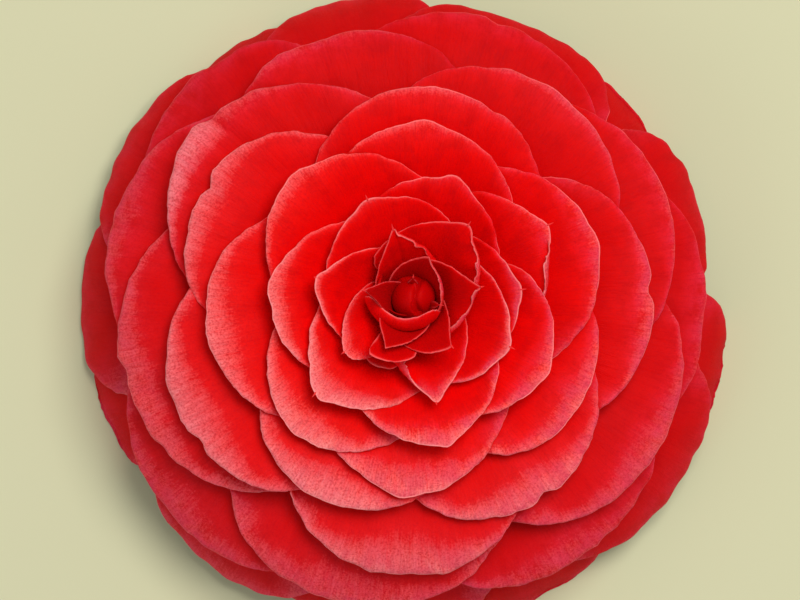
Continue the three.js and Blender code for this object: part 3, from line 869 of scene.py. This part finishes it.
class Nodes:
    """Short calls for building a material's node tree."""

    def __init__(self, name):
        self.material = bpy.data.materials.new(name)
        self.material.use_nodes = True
        self.tree = self.material.node_tree
        self.shader = self.tree.nodes["Principled BSDF"]

    def add(self, kind, inputs=None, **settings):
        node = self.tree.nodes.new(kind)
        for key, value in settings.items():
            setattr(node, key, value)
        for key, value in (inputs or {}).items():
            self.feed(node.inputs[key], value)
        return node

    def feed(self, socket, value):
        if isinstance(value, bpy.types.NodeSocket):
            self.tree.links.new(value, socket)
        else:
            socket.default_value = value

    def attribute(self, name):
        return self.add("ShaderNodeAttribute", attribute_name=name).outputs["Fac"]

    def math(self, operation, first, second=0.0, third=0.0):
        node = self.add("ShaderNodeMath", operation=operation)
        for socket, value in zip(node.inputs, (first, second, third)):
            self.feed(socket, value)
        return node.outputs[0]

    def spread(self, value, low, high, to_low=0.0, to_high=1.0):
        inputs = {"Value": value, "From Min": low, "From Max": high,
                  "To Min": to_low, "To Max": to_high}
        return self.add("ShaderNodeMapRange", inputs, clamp=True).outputs[0]

    def mix(self, factor, first, second):
        node = self.add("ShaderNodeMix", data_type="RGBA")
        self.feed(node.inputs[0], factor)
        self.feed(node.inputs[6], first)
        self.feed(node.inputs[7], second)
        return node.outputs[2]

    def stretched(self, vector, scale):
        return self.add("ShaderNodeMapping", {"Vector": vector, "Scale": scale}).outputs[0]

    def noise(self, vector, scale, detail=2.0, roughness=0.5, distortion=0.0):
        inputs = {"Vector": vector, "Scale": scale, "Detail": detail, "Roughness": roughness,
                  "Distortion": distortion}
        return self.add("ShaderNodeTexNoise", inputs).outputs["Fac"]

    def product(self, first, *others):
        for other in others:
            first = self.math("MULTIPLY", first, other)
        return first

    def added(self, total, value, size):
        """A total with so much added of how far a value from 0 to 1 is off its middle."""
        off = self.math("SUBTRACT", value, 0.5)
        return self.math("MULTIPLY_ADD", off, size, total)

    def bump(self, height, distance, strength):
        inputs = {"Height": height, "Distance": distance, "Strength": strength}
        return self.add("ShaderNodeBump", inputs).outputs[0]

    def finish(self, inputs):
        for name, value in inputs.items():
            self.feed(self.shader.inputs[name], value)


def colour(red, green, blue):
    """An sRGB colour from 0 to 255 as the linear one that sockets take."""
    parts = [channel / 255 for channel in (red, green, blue)]
    linear = [p / 12.92 if p <= 0.04045 else ((p + 0.055) / 1.055) ** 2.4 for p in parts]
    return (*linear, 1.0)


def petal_material():
    n = Nodes("petal")
    tones = {name: colour(*tone) for name, tone in PETAL_TONES.items()}
    edge = n.attribute("edge")
    layer = n.attribute("layer")
    # The eye's petals are painted darker, as painted shade in the eye's hollow.
    heart = n.spread(layer, 0.15, 0.27, 1.0, 0.0)
    outer = n.spread(layer, 0.55, 0.95)
    open_air = n.attribute("open")
    # Paleness is held back where other petals cover a point: painted shade.
    pale_and_painted_light = n.product(n.attribute("pale_and_painted_light"), n.spread(open_air, 0.35, 1.0))
    uv = n.add("ShaderNodeUVMap", uv_map="blade").outputs["UV"]
    where = n.add("ShaderNodeTexCoord")
    place = where.outputs["Object"]
    upward = n.add("ShaderNodeSeparateXYZ", {"Vector": where.outputs["Normal"]}).outputs["Z"]

    along = n.stretched(uv, (42.0, 5.0, 1.0))
    branching = n.noise(along, 1.0, detail=3.0, roughness=0.6, distortion=0.5)
    streaks = n.noise(n.stretched(uv, (150.0, 24.0, 1.0)), 1.0, detail=4.0, roughness=0.7,
                      distortion=0.5)
    fleck = n.noise(place, 3300.0, detail=3.0, roughness=0.65)
    cloud = n.noise(place, 330.0, detail=4.0, roughness=0.6)

    # How pale each point is: its paleness and painted highlight, made uneven.
    uneven = n.added(1.0, streaks, 1.1)
    uneven = n.added(uneven, branching, 0.6)
    uneven = n.added(uneven, cloud, 0.6)
    uneven = n.math("MULTIPLY_ADD", n.attribute("tone"), 0.25, uneven)
    uneven = n.added(uneven, fleck, 1.1)
    paled = n.product(pale_and_painted_light, uneven)
    # The red flesh, with painted light by how open each point is: where other petals cover it, a
    # brighter red as a painted glow on most petals and a deeper red as painted shade on the outer
    # ones.

    # The red flesh, deeper where other petals cover it.
    lit = n.mix(outer, tones["lit"], tones["lit_outer"])
    lit = n.mix(heart, lit, tones["lit_heart_painted_shade"])
    covered_painted_light = n.mix(outer, tones["covered_painted_light"], tones["covered_outer_painted_shade"])
    covered_painted_light = n.mix(heart, covered_painted_light, tones["covered_heart_painted_shade"])
    flesh = n.mix(n.spread(open_air, 0.1, 0.8), covered_painted_light, lit)
    mottled = n.product(n.spread(cloud, 0.56, 0.38), n.spread(edge, 1.0, 12.0, 0.36, 0.06),
                        n.spread(heart, 0.0, 1.0, 1.0, 0.0))
    flesh = n.mix(mottled, flesh, tones["mottled"])

    # The pale flesh, partly a painted highlight, in two steps, and the violet in it.
    pale = n.mix(outer, tones["pale"], tones["pale_outer"])
    flesh = n.mix(n.spread(paled, 0.0, 0.5), flesh, pale)
    palest = n.mix(n.spread(layer, 0.2, 0.4), tones["palest_eye"], tones["palest"])
    palest = n.mix(outer, palest, tones["palest_outer"])
    flesh = n.mix(n.spread(paled, 0.25, 1.15), flesh, palest)
    violet = n.product(n.spread(cloud, 0.38, 0.6), n.spread(edge, 0.2, 7.0, 0.75, 0.05),
                       n.spread(pale_and_painted_light, 0.05, 0.4),
                       n.spread(n.attribute("cool"), 0.1, 0.95, 0.12, 1.0))
    flesh = n.mix(violet, flesh, tones["violet"])

    # Veins and grain.
    off_vein = n.math("ABSOLUTE", n.math("SUBTRACT", branching, 0.5))
    lined = n.product(n.spread(off_vein, 0.0, 0.05, 1.0, 0.0),
                      n.spread(edge, 0.3, 14.0, 0.18, 0.05), n.spread(open_air, 0.4, 0.9))
    flesh = n.mix(lined, flesh, tones["vein"])
    grain = n.product(n.spread(fleck, 0.5, 0.36), n.spread(pale_and_painted_light, 0.0, 0.5, 0.14, 0.3))
    flesh = n.mix(grain, flesh, tones["grain"])

    # The pale rim along the margin, partly the petal's own paler edge and partly a painted
    # highlight where it faces up, and a painted shadow on the side of the petal's thickness below
    # it.
    rim_width = n.spread(layer, 0.2, 0.45, 0.3, 0.2)
    # The rim is only painted where the surface faces up: partly a painted highlight.
    rim = n.product(n.spread(edge, 0.03, rim_width, 1.0, 0.0),
                    n.spread(cloud, 0.3, 0.6, 0.45, 0.95), n.spread(upward, 0.1, 0.45),
                    n.spread(layer, 0.05, 0.08))
    rim_highlight_tint = n.mix(n.spread(pale_and_painted_light, 0.0, 0.8), tones["rim"],
                     n.mix(0.4, palest, tones["rim_pale"]))
    flesh = n.mix(rim, flesh, rim_highlight_tint)
    # A painted shadow: a dark red line on the faces of the thickness that turn away from above.
    side = n.product(n.spread(edge, 0.0, 0.03, 1.0, 0.0), n.spread(upward, 0.25, 0.6, 1.0, 0.0))
    flesh = n.mix(side, flesh, tones["side"])

    relief = n.math("MULTIPLY_ADD", streaks, 0.5, n.product(fleck, 0.25))
    relief = n.math("MULTIPLY_ADD", branching, 0.8, relief)
    n.finish({
        "Base Color": flesh,
        "Roughness": n.spread(fleck, 0.3, 0.7, 0.5, 0.64),
        "Specular IOR Level": 0.05,
        "Subsurface Weight": n.spread(edge, 0.05, 0.6, 0.1, 0.55),
        "Subsurface Radius": (1.0, 0.05, 0.04),
        "Subsurface Scale": 0.0009,
        "Sheen Weight": 0.03,
        "Sheen Roughness": 0.5,
        "Sheen Tint": tones["sheen"],
        "Normal": n.bump(relief, 0.0002, 0.8),
    })
    return n.material


def sepal_material():
    """Silky green scales, patchily yellower, with fine pale hairs and brown at the rim."""
    n = Nodes("sepal")
    edge = n.attribute("edge")
    uv = n.add("ShaderNodeUVMap", uv_map="blade").outputs["UV"]
    place = n.add("ShaderNodeTexCoord").outputs["Object"]
    hairs = n.noise(n.stretched(uv, (90.0, 6.0, 1.0)), 4.0, detail=3.0, roughness=0.7)
    cloud = n.noise(place, 260.0)
    flesh = n.mix(n.spread(cloud, 0.3, 0.7), colour(120, 142, 62), colour(158, 168, 88))
    flesh = n.mix(n.spread(hairs, 0.5, 0.8, 0.0, 0.5), flesh, colour(198, 200, 148))
    rim = n.added(edge, cloud, 1.2)
    flesh = n.mix(n.spread(rim, 0.1, 0.9, 0.85, 0.0), flesh, colour(110, 72, 38))
    n.finish({
        "Base Color": flesh,
        "Roughness": 0.55,
        "Sheen Weight": 0.3,
        "Sheen Roughness": 0.4,
        "Normal": n.bump(hairs, 0.0001, 0.7),
    })
    return n.material


def stem_material():
    """Young bark, green-brown with small corky spots, and a pale cut end."""
    n = Nodes("bark")
    place = n.add("ShaderNodeTexCoord").outputs["Object"]
    height = n.add("ShaderNodeSeparateXYZ", {"Vector": place}).outputs["Z"]
    fibre = n.noise(n.stretched(place, (1.0, 1.0, 0.25)), 2600.0, detail=4.0, roughness=0.65)
    spots = n.noise(place, 1500.0, detail=1.0)
    flesh = n.mix(n.spread(fibre, 0.3, 0.7), colour(96, 104, 52), colour(134, 116, 74))
    flesh = n.mix(n.spread(spots, 0.62, 0.7), flesh, colour(176, 156, 118))
    cut = n.spread(height, 0.0007, 0.0009, 1.0, 0.0)
    flesh = n.mix(cut, flesh, colour(206, 206, 150))
    n.finish({
        "Base Color": flesh,
        "Roughness": 0.75,
        "Normal": n.bump(fibre, 0.00015, 0.8),
    })
    return n.material


# ---------------------------------------------------------------- table, light and camera

TABLE_HALF_WIDTH = 1.5

# Each light: name, place in metres, diameter, power and tint.
LIGHTS = [
    ("key", (0.24, 0.3, 0.85), 0.5, 6.9, (1.0, 0.97, 0.93)),
    ("fill", (-0.7, -0.5, 0.6), 0.9, 1.8, (0.93, 0.96, 1.0)),
]
LIGHTS_AIM = (0, 0, 0.02)
ROOM_TINT = (1.0, 0.99, 0.96, 1.0)
ROOM_STRENGTH = 0.36

CAMERA_HEIGHT = 0.6
SENSOR = 36.0
VIEW_WIDTH = 800
VIEW_HEIGHT = 600
BLOOM_PIXEL = (411, 303)  # where the flower's axis lies in the view
METRES_PER_PIXEL = 0.0001447
SCALE_LEVEL = 0.012  # the height above the table at which a pixel covers that much


def make_table():
    bm = bmesh.new()
    bmesh.ops.create_grid(bm, x_segments=2, y_segments=2, size=TABLE_HALF_WIDTH)
    data = bpy.data.meshes.new("table")
    bm.to_mesh(data)
    bm.free()
    table = bpy.data.objects.new("table", data)
    bpy.context.scene.collection.objects.link(table)
    n = Nodes("table_top")
    place = n.add("ShaderNodeTexCoord").outputs["Object"]
    grain = n.noise(place, 9.0, detail=3.0)
    face = n.mix(grain, colour(208, 208, 173), colour(200, 200, 163))
    n.finish({"Base Color": face, "Roughness": 0.8})
    data.materials.append(n.material)


def add_light(name, place, size, power, tint):
    lamp = bpy.data.lights.new(name, "AREA")
    lamp.shape = "DISK"
    lamp.size = size
    lamp.energy = power
    lamp.color = tint
    light = bpy.data.objects.new(name, lamp)
    light.location = place
    aim = Vector(LIGHTS_AIM) - Vector(place)
    light.rotation_euler = aim.to_track_quat("-Z", "Y").to_euler()
    bpy.context.scene.collection.objects.link(light)


def make_lights():
    for light in LIGHTS:
        add_light(*light)
    world = bpy.data.worlds.new("room")
    world.use_nodes = True
    backdrop = world.node_tree.nodes["Background"]
    backdrop.inputs["Color"].default_value = ROOM_TINT
    backdrop.inputs["Strength"].default_value = ROOM_STRENGTH
    bpy.context.scene.world = world


def make_camera():
    data = bpy.data.cameras.new("camera")
    data.sensor_width = SENSOR
    data.lens = SENSOR * (CAMERA_HEIGHT - SCALE_LEVEL) / (METRES_PER_PIXEL * VIEW_WIDTH)
    data.clip_start = 0.01
    camera = bpy.data.objects.new("camera", data)
    aside = (BLOOM_PIXEL[0] - VIEW_WIDTH / 2) * METRES_PER_PIXEL
    down = (BLOOM_PIXEL[1] - VIEW_HEIGHT / 2) * METRES_PER_PIXEL
    camera.location = (AXIS.x - aside, AXIS.y + down, CAMERA_HEIGHT)
    bpy.context.scene.collection.objects.link(camera)
    bpy.context.scene.camera = camera


# ---------------------------------------------------------------- the flower

petal_finish = petal_material()
grown = [leaning_petal(row) for row in LEANING] + [petal_from(row) for row in PETALS]
covers = covering(grown)
start = 0.0
for whorl_name, end in WHORLS:
    whorl = [petal for petal in grown if start <= petal.layer < end]
    make_blades(whorl_name, whorl, petal_finish, PETAL_THICKNESS, "petals", covers)
    start = end
make_bud(petal_finish)
make_hairs(grown, petal_finish)
sepal_finish = sepal_material()
make_blades("sepals", sepal_blades(), sepal_finish, SEPAL_THICKNESS, "calyx")
make_turned("calyx_cup", CUP_OUTLINE, sepal_finish, "calyx", cup_shape)
make_turned("stem_stub", STEM_OUTLINE, stem_material(), "stem", stem_shape)

make_table()
make_lights()
make_camera()
bpy.context.scene.view_settings.view_transform = "Standard"
